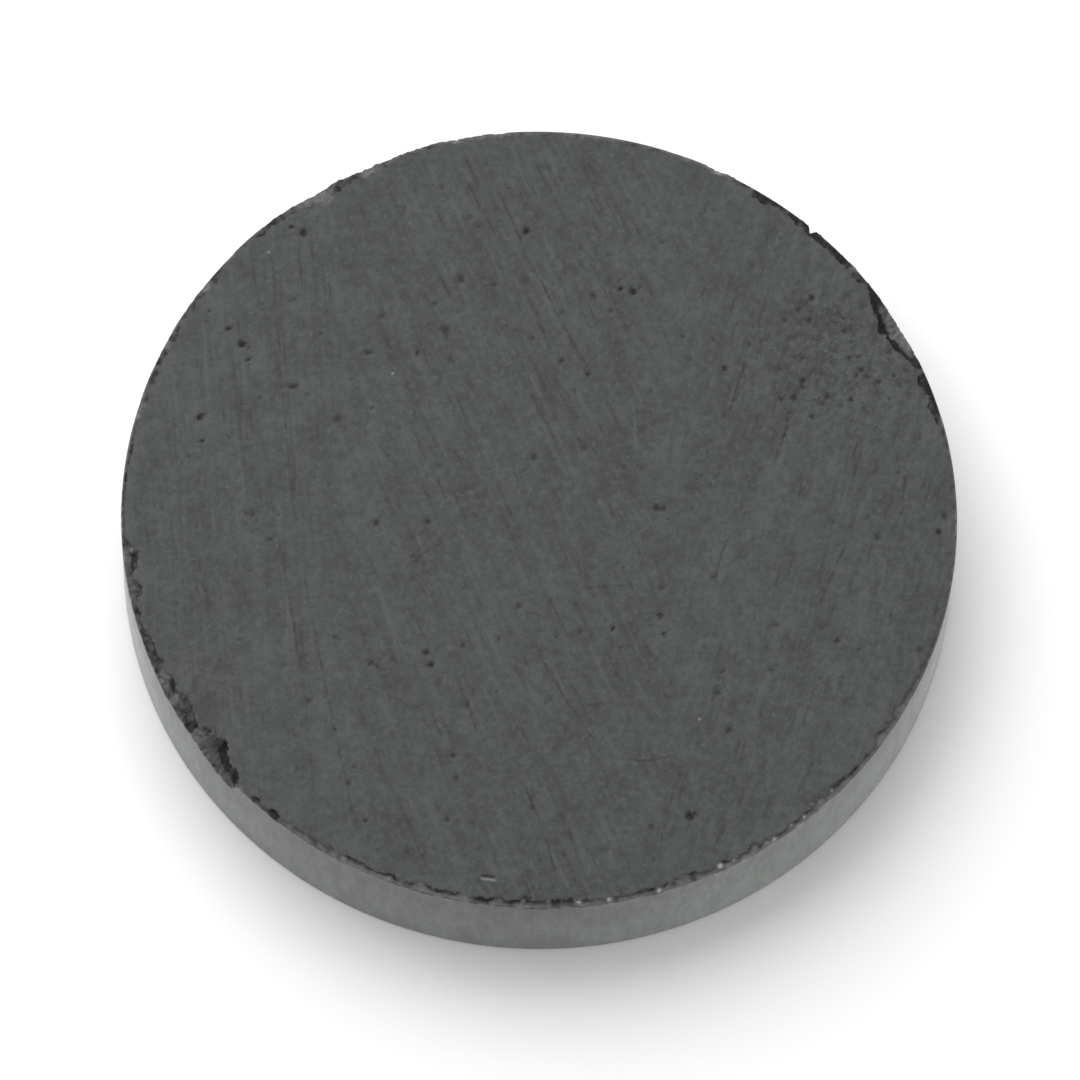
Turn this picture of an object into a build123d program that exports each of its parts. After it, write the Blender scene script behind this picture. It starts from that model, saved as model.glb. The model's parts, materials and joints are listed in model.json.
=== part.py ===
"""Ferrite disc magnet: one pressed, sintered and ground disc whose upper rim is chipped all round.

The disc stands on its lower pole face, centred on the origin, with its axis along +Z.
"""

import os
from math import cos, hypot, radians, sin

from build123d import *

# Driving dimensions, in millimetres
diameter = 20.0
thickness = 3.0
edge_break = 0.06  # narrow bevel that tumbling leaves on both rims
chip_depth = 0.6  # how far the deepest chip reaches, over the face or down the wall
nick_radius = 0.14  # half the width of the narrow nick at the face
nick_depth = 0.9  # how far the nick runs down the wall
nick_tip_share = 0.2  # how much of its width the nick keeps at its foot
nick_turn = 50.7  # where the nick is, in degrees counter-clockwise from +X seen from above

# Chips in the upper rim. Each row is one chip: the turn of its middle and the arc that it takes
# from the rim, both in degrees counter-clockwise from +X seen from above, then how far it reaches
# in over the face and how far it drops down the wall, both as shares of chip_depth.
chip_shares = [
    # Right and far right: a ragged band of shallow flakes and one deeper bite
    (21.5, 8.0, 0.40, 0.17),
    (30.9, 9.5, 0.66, 0.57),
    (39.5, 8.0, 0.40, 0.17),
    (46.4, 6.5, 0.37, 0.17),
    (55.4, 7.5, 0.40, 0.17),
    (61.4, 5.0, 0.40, 0.17),
    (67.0, 3.4, 0.24, 0.20),
    # Far side: small flakes, then a run of wider ones
    (88.4, 3.2, 0.20, 0.17),
    (97.6, 3.6, 0.24, 0.17),
    (103.8, 3.8, 0.25, 0.20),
    (113.6, 8.5, 0.22, 0.42),
    (117.2, 3.6, 0.45, 0.40),
    (121.2, 4.8, 0.42, 0.33),
    (124.8, 5.2, 0.70, 0.56),
    (130.6, 8.6, 0.33, 0.24),
    (141.2, 3.2, 0.18, 0.20),
    (144.0, 3.0, 0.33, 0.17),
    (146.4, 2.6, 0.33, 0.23),
    (154.7, 2.8, 0.33, 0.17),
    (156.6, 2.4, 0.18, 0.20),
    (167.2, 3.4, 0.28, 0.17),
    # Left side: a row of bites that ends in the largest one, which deepens towards the front
    (189.3, 3.8, 0.50, 0.23),
    (194.4, 6.4, 0.30, 0.23),
    (202.8, 7.0, 0.27, 0.23),
    (208.4, 4.0, 0.55, 0.47),
    (212.8, 5.6, 0.57, 0.50),
    (216.7, 3.8, 0.53, 0.42),
    (219.5, 4.8, 0.62, 0.67),
    (222.8, 6.4, 0.90, 0.95),
    (229.2, 2.4, 0.25, 0.17),
    (232.4, 2.6, 0.30, 0.17),
    # Near side: small flakes
    (243.8, 2.0, 0.22, 0.17),
    (256.0, 2.8, 0.28, 0.20),
    (270.2, 2.8, 0.27, 0.17),
    (281.5, 1.8, 0.22, 0.17),
    (298.0, 2.2, 0.25, 0.20),
    (314.8, 3.6, 0.37, 0.17),
    (320.2, 4.2, 0.33, 0.17),
]

rim_radius = diameter / 2


def shell_bite(arc, reach, drop):
    """Sphere that breaks one shell-shaped chip out of the rim.

    It passes through the rim at both ends of the arc, through the face `reach` in from the rim and
    through the wall `drop` below it. Returns how far its centre stands out from the rim and up from
    the face, and its radius.
    """
    chord = 2 * rim_radius * sin(radians(arc) / 4)
    sagitta = rim_radius * (1 - cos(radians(arc) / 2))
    out = (chord**2 - reach**2) / (2 * (reach - sagitta))
    up = (reach**2 + 2 * reach * out - drop**2) / (2 * drop)
    return out, up, hypot(reach + out, up)


with BuildPart() as magnet:
    # The disc as it leaves the grinder, with both rims broken
    with BuildSketch(Plane.XY):
        Circle(rim_radius)
    extrude(amount=thickness)
    chamfer(magnet.edges().filter_by(GeomType.CIRCLE), edge_break)

    # The chips in its upper rim
    for turn, arc, reach_share, drop_share in chip_shares:
        out, up, bite_radius = shell_bite(arc, reach_share * chip_depth, drop_share * chip_depth)
        with Locations((0, 0, thickness + up)):
            with PolarLocations(rim_radius + out, 1, start_angle=turn):
                Sphere(bite_radius, mode=Mode.SUBTRACT)

    # The nick, half a blunt cone that stands on its tip in the wall
    with Locations((0, 0, thickness)):
        with PolarLocations(rim_radius, 1, start_angle=nick_turn):
            tip_down = (Align.CENTER, Align.CENTER, Align.MAX)
            Cone(nick_tip_share * nick_radius, nick_radius, nick_depth, align=tip_down, mode=Mode.SUBTRACT)

magnet.part.label = "magnet"

os.makedirs("parts", exist_ok=True)
export_step(magnet.part, "parts/magnet.step")
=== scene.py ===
# %% [markdown]
# # A chipped ferrite disc magnet
# The object is one disc of hard ferrite, a ceramic that is pressed from powder, fired and then
# ground flat on its two pole faces. The CAD solid already has its size and its large chips. This
# lesson swaps that solid for a finer surface with the same form, worked out in millimetres with
# numpy, and gives it the look of ground, fired and freshly broken ceramic.

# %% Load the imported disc
import json
from itertools import product
from math import cos, pi, radians, sin

import bpy
import numpy as np
from mathutils import Euler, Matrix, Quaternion, Vector


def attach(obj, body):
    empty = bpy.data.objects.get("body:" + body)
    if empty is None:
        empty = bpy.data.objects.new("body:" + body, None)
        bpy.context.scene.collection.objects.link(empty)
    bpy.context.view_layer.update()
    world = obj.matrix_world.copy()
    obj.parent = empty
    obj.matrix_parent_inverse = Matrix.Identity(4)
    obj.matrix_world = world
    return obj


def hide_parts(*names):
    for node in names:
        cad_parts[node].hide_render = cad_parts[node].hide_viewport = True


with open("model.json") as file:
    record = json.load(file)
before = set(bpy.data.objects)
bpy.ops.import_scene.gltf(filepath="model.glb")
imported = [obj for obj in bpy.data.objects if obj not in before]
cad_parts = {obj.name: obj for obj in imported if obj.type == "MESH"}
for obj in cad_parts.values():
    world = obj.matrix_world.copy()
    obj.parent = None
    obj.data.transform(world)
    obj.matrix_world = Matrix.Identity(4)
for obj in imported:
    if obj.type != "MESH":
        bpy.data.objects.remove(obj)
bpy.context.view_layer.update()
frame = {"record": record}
MM = 0.001  # one millimetre, in the metres of the scene
mounts = {mount["name"]: mount for mount in frame["record"]["mounts"]}
rim_radius = mounts["rim"]["dims"]["r_mm"]
thickness = mounts["upper_pole_face"]["pos_m"][2] / MM
edge_break = (thickness - mounts["rim"]["dims"]["length_mm"]) / 2
print(f"disc {2 * rim_radius:g} mm across, {thickness:g} mm thick, rims broken by {edge_break:.2f} mm")

# %% [markdown]
# ## The camera
# The picture was taken with a long lens, looking steeply down. The height, the distance and the
# slight roll came from fitting an ellipse to the rim and to the strip of wall that shows, so the
# camera is placed by those few numbers. It aims a little in front of the disc's middle, which
# sets the disc in the frame without any lens shift.

# %% Place the camera
camera_height = radians(68.27)  # above the horizon
camera_distance = 243.0  # from the middle of the upper face
camera_roll = radians(2.38)
focal_length = 338.7  # for a sensor 36 mm wide
aim = Vector((0.042, -0.686, thickness))

lens = bpy.data.cameras.new("camera")
lens.lens = focal_length
camera = bpy.data.objects.new("camera", lens)
bpy.context.scene.collection.objects.link(camera)
towards_camera = Vector((0, -cos(camera_height), sin(camera_height)))
stand = Vector((0, 0, thickness)) + camera_distance * towards_camera
camera.location = MM * stand
camera.rotation_mode = "QUATERNION"
level = (aim - stand).to_track_quat("-Z", "Y")
camera.rotation_quaternion = level @ Quaternion((0, 0, 1), camera_roll)
bpy.context.scene.camera = camera
bpy.context.scene.view_settings.view_transform = "Standard"
print("camera stands at", [round(c, 1) for c in stand], "mm")

# %% [markdown]
# ## Shader maths as Python
# Node trees are hard to read as long lists of links. This class wraps one output socket, and an
# expression such as 1 - mask adds its Math node. Every other node comes from the method `node`,
# which takes the type, the settings and the values or links of the sockets.

# %% The wire class


class Wire:
    """One output socket, with the arithmetic that the finishes use."""

    def __init__(self, tree, socket=None):
        self.tree = tree
        self.socket = socket

    def node(self, kind, settings=None, sockets=None, out=0):
        """Adds a node, sets it up, feeds its sockets and returns its output `out` as a wire."""
        made = self.tree.nodes.new(kind)
        for name, value in (settings or {}).items():
            setattr(made, name, value)
        for name, value in (sockets or {}).items():
            if isinstance(value, Wire):
                self.tree.links.new(value.socket, made.inputs[name])
            else:
                made.inputs[name].default_value = value
        return Wire(self.tree, made.outputs[out])

    def math(self, operation, *values):
        """A Math node on wires or numbers."""
        return self.node("ShaderNodeMath", {"operation": operation}, dict(enumerate(values)))

    def __add__(self, other):
        return self.math("ADD", self, other)

    def __sub__(self, other):
        return self.math("SUBTRACT", self, other)

    def __rsub__(self, other):
        return self.math("SUBTRACT", other, self)

    def __mul__(self, other):
        return self.math("MULTIPLY", self, other)

    def __abs__(self):
        return self.math("ABSOLUTE", self)

    __radd__ = __add__
    __rmul__ = __mul__

    def ramp(self, start, end, low=0.0, high=1.0):
        """Goes smoothly from `low` to `high` while this wire goes from `start` to `end`."""
        settings = {"interpolation_type": "SMOOTHSTEP"}
        return self.node("ShaderNodeMapRange", settings, {0: self, 1: start, 2: end, 3: low, 4: high})

    def blend(self, first, second):
        """Mixes two colours, with this wire as the share of the second.

        A Mix node has sockets for each kind of data: 6 and 7 are its colours, and 2 is their mix.
        """
        return self.node("ShaderNodeMix", {"data_type": "RGBA"}, {0: self, 6: first, 7: second}, out=2)


def new_finish(name):
    """A material with nothing but its output, as (material, wire to build on, output node)."""
    made = bpy.data.materials.new(name)
    made.use_nodes = True
    made.node_tree.nodes.clear()
    return made, Wire(made.node_tree), made.node_tree.nodes.new("ShaderNodeOutputMaterial")


print("wire class ready")

# %% [markdown]
# ## The floor
# The magnet lies on a white sheet. Stronger lamps would make the background white, but they would
# bleach the magnet too. So the sheet is brighter to the camera and in reflections than it is as a
# source of light.

# %% Make the floor
floor_half = 1500.0
sheet_light = (0.9, 0.9, 0.9, 1)  # what the sheet sends on as light
sheet_seen = (1.3, 1.3, 1.3, 1)  # what the camera and mirror reflections see

corners = floor_half * MM * np.array([[-1, -1, 0], [1, -1, 0], [1, 1, 0], [-1, 1, 0]])
floor_mesh = bpy.data.meshes.new("floor")
floor_mesh.from_pydata(corners.tolist(), [], [(0, 1, 2, 3)])
floor = bpy.data.objects.new("floor", floor_mesh)
bpy.context.scene.collection.objects.link(floor)

white_sheet, wire, output = new_finish("white_sheet")
seen_by = ("Is Camera Ray", "Is Glossy Ray", "Is Transmission Ray")
camera_ray, glossy_ray, clear_ray = (wire.node("ShaderNodeLightPath", out=ray) for ray in seen_by)
paper = (camera_ray + glossy_ray + clear_ray).blend(sheet_light, sheet_seen)
matte = wire.node("ShaderNodeBsdfDiffuse", sockets={"Color": paper})
wire.tree.links.new(matte.socket, output.inputs["Surface"])
floor_mesh.materials.append(white_sheet)
print("floor", 2 * floor_half, "mm wide")

# %% [markdown]
# ## The light
# One large soft lamp stands behind the magnet to the left, so the shadow is short, soft and falls
# forward to the right. A sun or a point lamp would draw a hard shadow. An area lamp about as wide
# as it is far away gives the soft one, and an even white world stands for the walls of the room.

# %% Hang the lamp and set the world
lamp_turn = radians(122)  # counter-clockwise from +X, seen from above
lamp_height = radians(56)  # above the horizon
lamp_distance = 170.0
lamp_width = 175.0
lamp_power = 0.197  # watts
world_level = 0.45

lamp_data = bpy.data.lights.new("softbox", "AREA")
lamp_data.size = lamp_width * MM
lamp_data.energy = lamp_power
lamp = bpy.data.objects.new("softbox", lamp_data)
bpy.context.scene.collection.objects.link(lamp)
flat = cos(lamp_height)
towards_lamp = Vector((flat * cos(lamp_turn), flat * sin(lamp_turn), sin(lamp_height)))
lamp.location = MM * lamp_distance * towards_lamp
lamp.rotation_euler = towards_lamp.to_track_quat("Z", "Y").to_euler()

world = bpy.data.worlds.new("studio")
world.use_nodes = True
background = world.node_tree.nodes["Background"]
background.inputs["Color"].default_value = (1, 1, 1, 1)
background.inputs["Strength"].default_value = world_level
bpy.context.scene.world = world
print("lamp", lamp_distance, "mm away")

# %% [markdown]
# ## The surface before any damage
# A plain spin of the profile would crowd the points at the middle and leave few for the rim. So the
# upper face is a square grid bent into a disc, with cells of equal area. Rings carry on from its
# border: over the face, round the rim, down the wall and in under the disc. They are twice as fine
# where the chips lie.

# %% Grid and ring helpers


def disc_grid(cells):
    """Square grid bent into a unit disc of equal-area cells, as (cells + 1, cells + 1, 2).

    A point of the square keeps its largest coordinate as its radius, and its turn within that
    quarter grows in step with the ratio of the smaller coordinate to the larger one.
    """
    line = np.linspace(-1, 1, cells + 1)
    across, up = np.meshgrid(line, line)
    wide = np.abs(across) >= np.abs(up)
    reach = np.where(wide, across, up)
    other = np.where(wide, up, across)
    quarter = pi / 4 * np.divide(other, reach, out=np.zeros_like(reach), where=reach != 0)
    turn = np.where(wide, quarter, pi / 2 - quarter)
    return np.stack([reach * np.cos(turn), reach * np.sin(turn)], -1)


def grid_border(cells):
    """Numbers of the grid's border points, counter-clockwise from the lower right corner."""
    number = np.arange((cells + 1) ** 2).reshape(cells + 1, cells + 1)
    return np.concatenate([number[:-1, -1], number[-1, :0:-1], number[:0:-1, 0], number[0, :-1]])


def grid_faces(cells):
    """Quads of the grid, counter-clockwise as seen from above."""
    number = np.arange((cells + 1) ** 2).reshape(cells + 1, cells + 1)
    corners = [number[:-1, :-1], number[:-1, 1:], number[1:, 1:], number[1:, :-1]]
    return np.stack(corners, -1).reshape(-1, 4)


def ring_faces(upper, lower):
    """Faces between two rings: quads, or three triangles to a step if the count doubles or halves."""
    if len(upper) == len(lower):
        return np.stack([upper, lower, np.roll(lower, -1), np.roll(upper, -1)], -1)
    if len(upper) < len(lower):
        even, odd = lower[::2], lower[1::2]
        after, even_after = np.roll(upper, -1), np.roll(even, -1)
        three = [(upper, even, odd), (upper, odd, after), (after, odd, even_after)]
    else:
        even, odd = upper[::2], upper[1::2]
        after, even_after = np.roll(lower, -1), np.roll(even, -1)
        three = [(even, lower, odd), (odd, lower, after), (odd, after, even_after)]
    return np.concatenate([np.stack(corner, -1) for corner in three])


print("a grid of 8 cells has", len(grid_border(8)), "border points")

# %% Lay out the points
face_cells = 224
under_cells = face_cells // 4
ring_points = 4 * face_cells
face_edge = rim_radius - 0.65  # where the square grid ends and the rings begin
coarse_rings = np.linspace(face_edge + 0.08, rim_radius - 0.49, 2)
bevel = rim_radius - edge_break
fine_rings = np.linspace(rim_radius - 0.44, bevel, 10)
fine_drops = np.linspace(edge_break, 0.42, 8)  # rings on the wall, down from the upper face
coarse_drops = np.array([0.5, 0.6, 0.75, 1.1, 1.8, 2.5])
under_outer, under_inner, under_edge = rim_radius - np.array([0.25, 0.5, 0.8])


def rows(radii, heights, count):
    """Rings of the profile, each as (radius, height, number of points)."""
    radii, heights = np.broadcast_arrays(np.atleast_1d(radii), heights)
    return [(radius, height, count) for radius, height in zip(radii, heights)]


profile = [
    *rows(coarse_rings, thickness, ring_points),
    *rows(fine_rings, thickness, 2 * ring_points),
    *rows(rim_radius - edge_break / 2, thickness - edge_break / 2, 2 * ring_points),
    *rows(rim_radius, thickness - fine_drops, 2 * ring_points),
    *rows(rim_radius, thickness - coarse_drops, ring_points),
    *rows(rim_radius, edge_break, ring_points),
    *rows(bevel, 0, ring_points),
    *rows(under_outer, 0, ring_points // 2),
    *rows(under_inner, 0, ring_points // 4),
]

points = [np.insert(face_edge * disc_grid(face_cells).reshape(-1, 2), 2, thickness, 1)]
faces = [grid_faces(face_cells)]
last_ring = grid_border(face_cells)
for radius, height, count in profile:
    turns = 2 * pi * np.arange(count) / count - pi / 4
    ring = sum(map(len, points)) + np.arange(count)
    heights = np.full(count, height)
    points.append(np.stack([radius * np.cos(turns), radius * np.sin(turns), heights], -1))
    faces.append(ring_faces(last_ring, ring))
    last_ring = ring
under_start = sum(map(len, points))
points.append(np.insert(under_edge * disc_grid(under_cells).reshape(-1, 2), 2, 0, 1))
faces.append(ring_faces(last_ring, under_start + grid_border(under_cells)))
faces.append(under_start + grid_faces(under_cells)[:, ::-1])
sound = np.concatenate(points)  # the disc before any damage, in millimetres
from_axis = np.hypot(sound[:, 0], sound[:, 1])
triangles = sum(len(group) * (group.shape[1] - 2) for group in faces)
print(len(sound), "points and", triangles, "triangles")

# %% [markdown]
# ## Pores in the ground face
# Pressed powder never closes up completely, and grinding opens the pores that lie just under the
# face, so it is dotted with small dark pits. They could be painted, but real hollows also catch
# the light when the magnet is turned. The larger ones are placed one by one, where they show, and
# the dust of fine ones between them is scattered with a fixed seed.

# %% Smooth noise for ragged shapes
askew_turn = (0.7, 0.5, 0.3)  # keeps the lattice of a noise off the planes of the disc


def lattice_noise(places, cell, seed, angular=False):
    """Noise from -1 to 1: random values on a lattice of side `cell`, blended between its corners.

    The blend is 3t^2 - 2t^3, which is smooth, or plain t for an angular look with creases. The
    lattice lies askew to the disc, so that none of its lines runs along the face or the wall.
    """
    size = 48
    values = np.random.default_rng(seed).uniform(-1, 1, (size, size, size))
    askew = places @ np.array(Euler(askew_turn).to_matrix()) / cell
    corner = np.floor(askew).astype(int)
    part = askew - corner
    weight = part if angular else part * part * (3 - 2 * part)
    total = np.zeros(len(places))
    for step in product((0, 1), repeat=3):
        x, y, z = ((corner + step) % size).T
        total += np.where(step, weight, 1 - weight).prod(1) * values[x, y, z]
    return total


print("noise at three places:", lattice_noise(sound[:3], 0.3, 1).round(2))

# %% Place the larger pores
# Each pore: x and y of its middle, its radius, and how dark it is
pores = [
    # Far left
    (-5.98, 7.06, 0.1, 0.8), (-6.26, 7.18, 0.07, 0.6), (-8.22, 2.12, 0.1, 0.9),
    (-8.17, 1.50, 0.08, 0.8), (-7.65, 4.46, 0.08, 0.8), (-7.32, 4.06, 0.1, 0.9),
    (-7.13, 3.68, 0.09, 0.6), (-7.08, 3.54, 0.08, 0.5), (-6.79, 2.67, 0.07, 0.6),
    (-6.08, 3.02, 0.09, 0.6), (-5.94, 3.02, 0.08, 0.5), (-5.46, 4.43, 0.07, 0.5),
    (-4.30, 4.00, 0.09, 0.7), (-4.19, 4.01, 0.07, 0.5), (-3.08, 4.05, 0.07, 0.6),
    (-2.27, 3.87, 0.08, 0.6), (-2.43, 4.65, 0.14, 0.5), (-4.92, 2.20, 0.14, 0.4),
    (-3.98, 4.96, 0.13, 0.4), (-6.14, 5.31, 0.08, 0.4), (-6.90, 5.18, 0.09, 0.4),
    (-2.72, 5.33, 0.07, 0.5), (-4.05, 6.06, 0.07, 0.5), (-2.13, 6.02, 0.15, 0.5),
    (-1.29, 5.90, 0.11, 0.5), (-1.99, 7.62, 0.11, 0.4), (-1.74, 7.41, 0.09, 0.4),
    (-2.33, 7.64, 0.07, 0.4), (-1.07, 8.45, 0.07, 0.5), (-0.60, 7.33, 0.11, 0.8),
    (-0.55, 6.02, 0.13, 0.35), (-0.35, 4.53, 0.1, 0.5), (-1.10, 3.79, 0.08, 0.4),
    (-2.16, 2.71, 0.07, 0.4), (-0.71, 2.37, 0.07, 0.4), (-2.47, 1.10, 0.1, 0.4),
    (-0.19, 1.43, 0.13, 0.4), (-8.16, 4.90, 0.07, 0.5), (-8.22, 4.60, 0.07, 0.5),
    # Far right
    (1.75, 5.91, 0.09, 0.8), (2.04, 5.87, 0.13, 0.8), (2.20, 5.99, 0.08, 0.6),
    (1.75, 6.17, 0.06, 0.4), (1.11, 5.71, 0.11, 0.5), (1.51, 5.33, 0.07, 0.5),
    (1.04, 3.67, 0.1, 0.5), (0.48, 7.56, 0.07, 0.4), (0.38, 3.99, 0.09, 0.5),
    (6.35, 5.89, 0.08, 0.7), (6.03, 5.57, 0.08, 0.6), (7.13, 5.40, 0.08, 0.6),
    (7.15, 5.05, 0.1, 0.5), (3.48, 4.16, 0.07, 0.5), (4.28, 3.94, 0.09, 0.6),
    (6.19, 3.74, 0.09, 0.7), (5.98, 3.25, 0.09, 0.7), (7.58, 4.05, 0.09, 0.6),
    (8.04, 3.76, 0.08, 0.7), (7.38, 3.27, 0.09, 0.6), (7.15, 3.10, 0.07, 0.5),
    (6.43, 2.78, 0.09, 0.6), (5.85, 2.69, 0.07, 0.5), (8.40, 3.95, 0.07, 0.5),
    (6.95, 3.25, 0.07, 0.5), (1.04, 1.75, 0.09, 0.4), (2.39, 1.26, 0.11, 0.35),
    (0.47, 0.63, 0.15, 0.35), (2.79, 0.26, 0.1, 0.6), (2.97, 0.27, 0.1, 0.5),
    (3.10, 0.00, 0.07, 0.4), (9.55, -0.05, 0.1, 0.7), (9.67, 0.35, 0.11, 0.4),
    (8.10, -0.25, 0.12, 0.4), (4.90, 6.70, 0.1, 0.35), (5.75, 7.20, 0.07, 0.4),
    # Near left
    (-6.86, -0.33, 0.1, 0.5), (-3.90, -0.41, 0.1, 0.5), (-2.64, -0.31, 0.11, 0.5),
    (-2.95, -1.25, 0.07, 0.5), (-2.88, -1.32, 0.09, 0.5), (-3.93, -1.71, 0.07, 0.4),
    (-0.36, -2.37, 0.11, 0.5), (-6.10, -2.86, 0.07, 0.4), (-2.55, -3.68, 0.08, 0.8),
    (-2.43, -3.97, 0.09, 0.8), (-3.87, -3.98, 0.1, 0.5), (-3.71, -4.08, 0.07, 0.4),
    (-1.69, -3.43, 0.09, 0.45), (-0.85, -3.25, 0.11, 0.4), (-1.52, -4.93, 0.1, 0.5),
    (-5.29, -5.02, 0.1, 0.5), (-4.63, -5.73, 0.07, 0.5), (-1.81, -6.26, 0.11, 0.5),
    (-4.26, -7.05, 0.11, 0.4), (-3.80, -7.98, 0.08, 0.4), (-2.76, -8.73, 0.1, 0.4),
    (-7.69, -5.85, 0.08, 0.5), (-7.60, -5.91, 0.09, 0.6), (-7.52, -6.03, 0.07, 0.4),
    # Near right
    (0.14, -7.49, 0.09, 0.5), (1.86, -2.86, 0.09, 0.8), (2.97, -2.49, 0.1, 0.8),
    (3.10, -2.95, 0.09, 0.8), (1.10, -2.95, 0.09, 0.4), (0.53, -3.13, 0.11, 0.5),
    (2.00, -4.00, 0.07, 0.5), (2.05, -3.36, 0.07, 0.5), (3.61, -3.98, 0.07, 0.4),
    (4.10, -3.25, 0.09, 0.5), (4.50, -3.85, 0.08, 0.4), (4.41, -4.37, 0.09, 0.5),
    (4.69, -5.32, 0.15, 0.5), (3.83, -7.55, 0.1, 0.9), (4.00, -7.46, 0.08, 0.8),
    (2.95, -7.85, 0.11, 0.4), (4.90, -0.89, 0.11, 0.4), (5.74, -2.61, 0.11, 0.4),
    (4.90, -2.35, 0.1, 0.3), (5.66, -3.77, 0.1, 0.4), (4.86, -6.55, 0.08, 0.4),
    (1.95, -8.45, 0.1, 0.35), (7.21, -2.95, 0.1, 0.5), (9.19, -3.10, 0.14, 0.35),
    (4.22, -1.45, 0.1, 0.5),
]
print(len(pores), "pores placed by hand")

# %% Scatter the fine pores
dust_count = 420
dust_radii, dust_dark = (0.05, 0.09), (0.1, 0.45)
crumbly_count = 110  # finer pits in the crumbly patch at the far right
crumbly_middle = (7.1, 4.3)
crumbly_spread = 1.0
crumb_radii, crumb_dark = (0.04, 0.11), (0.15, 0.55)

scatter = np.random.default_rng(7)
dust_turn = scatter.uniform(0, 2 * pi, dust_count)
dust_radius = face_edge * np.sqrt(scatter.uniform(0, 1, dust_count))
dust = np.stack([
    dust_radius * np.cos(dust_turn), dust_radius * np.sin(dust_turn),
    scatter.uniform(*dust_radii, dust_count), scatter.uniform(*dust_dark, dust_count)], -1)
crumbs = np.stack([
    *(scatter.normal(middle, crumbly_spread, crumbly_count) for middle in crumbly_middle),
    scatter.uniform(*crumb_radii, crumbly_count), scatter.uniform(*crumb_dark, crumbly_count)], -1)
print(len(dust), "fine pores and", len(crumbs), "crumbly pits scattered")

# %% Sink the pores
pore_slope = 0.7  # depth of a fully dark pore, as a share of its radius
pore_raggedness = 0.6
pore_halo = 1.55  # where the darkening ends, as a share of the radius
unpored_rim = 0.1

on_face = np.flatnonzero((sound[:, 2] == thickness) & (from_axis < rim_radius - unpored_rim))
face_places = sound[on_face]
ragged = 1 + pore_raggedness * lattice_noise(face_places, 0.11, 2)
cone = np.zeros(len(on_face))
sink = np.zeros(len(on_face))
for middle_x, middle_y, size, dark in np.concatenate([pores, dust, crumbs]):
    share = np.hypot(face_places[:, 0] - middle_x, face_places[:, 1] - middle_y) / (size * ragged)
    cone = np.maximum(cone, dark**0.75 * np.maximum(1 - share / pore_halo, 0))
    sink = np.maximum(sink, pore_slope * dark * size * np.maximum(1 - share**2, 0))
worn = sound.copy()
worn[on_face, 2] -= sink
pore = np.zeros(len(sound))
# The pore values also say where the finish paints shade in the pores
pore[on_face] = cone  # highest at a pore's middle, so the finish can cut its ragged outline from it
print("deepest pore", sink.max().round(3), "mm")

# %% [markdown]
# ## The chipped and crumbled rim
# Ferrite breaks like thick glass: a knock scoops a flake off the rim, and between the flakes the edge
# crumbles grain by grain. In section every break is a quarter of an ellipse round the old corner. So
# all the damage is one table of stations round the rim, and each says how far the break reaches, how
# deep it drops and how light its inner edge and its floor look. The values run straight from one
# station to the next, which leaves flat, angular flakes, and noise frays them.

# %% The shape of a break


def scoop_slide(inset, depth, reach, drop):
    """How far a place slides, inwards and down by the same amount, before it leaves the scoop.

    The scoop's border is (inset / reach)^2 + (depth / drop)^2 = 1, so the slide is the positive root
    of a quadratic. Places outside the border stay where they are.
    """
    square = 1 / reach**2 + 1 / drop**2
    half_linear = inset / reach**2 + depth / drop**2
    inside = 1 - (inset / reach) ** 2 - (depth / drop) ** 2
    root = np.sqrt(np.maximum(half_linear**2 + square * inside, 0))
    return np.where(inside > 0, (root - half_linear) / square, 0)


def smooth_step(values, start, end):
    """0 before `start`, 1 after `end` and 3t^2 - 2t^3 between them."""
    part = np.clip((values - start) / (end - start), 0, 1)
    return part * part * (3 - 2 * part)


print("the corner of a scoop 0.5 by 0.6 slides by", scoop_slide(0, 0, 0.5, 0.6).round(2), "mm")
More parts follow.
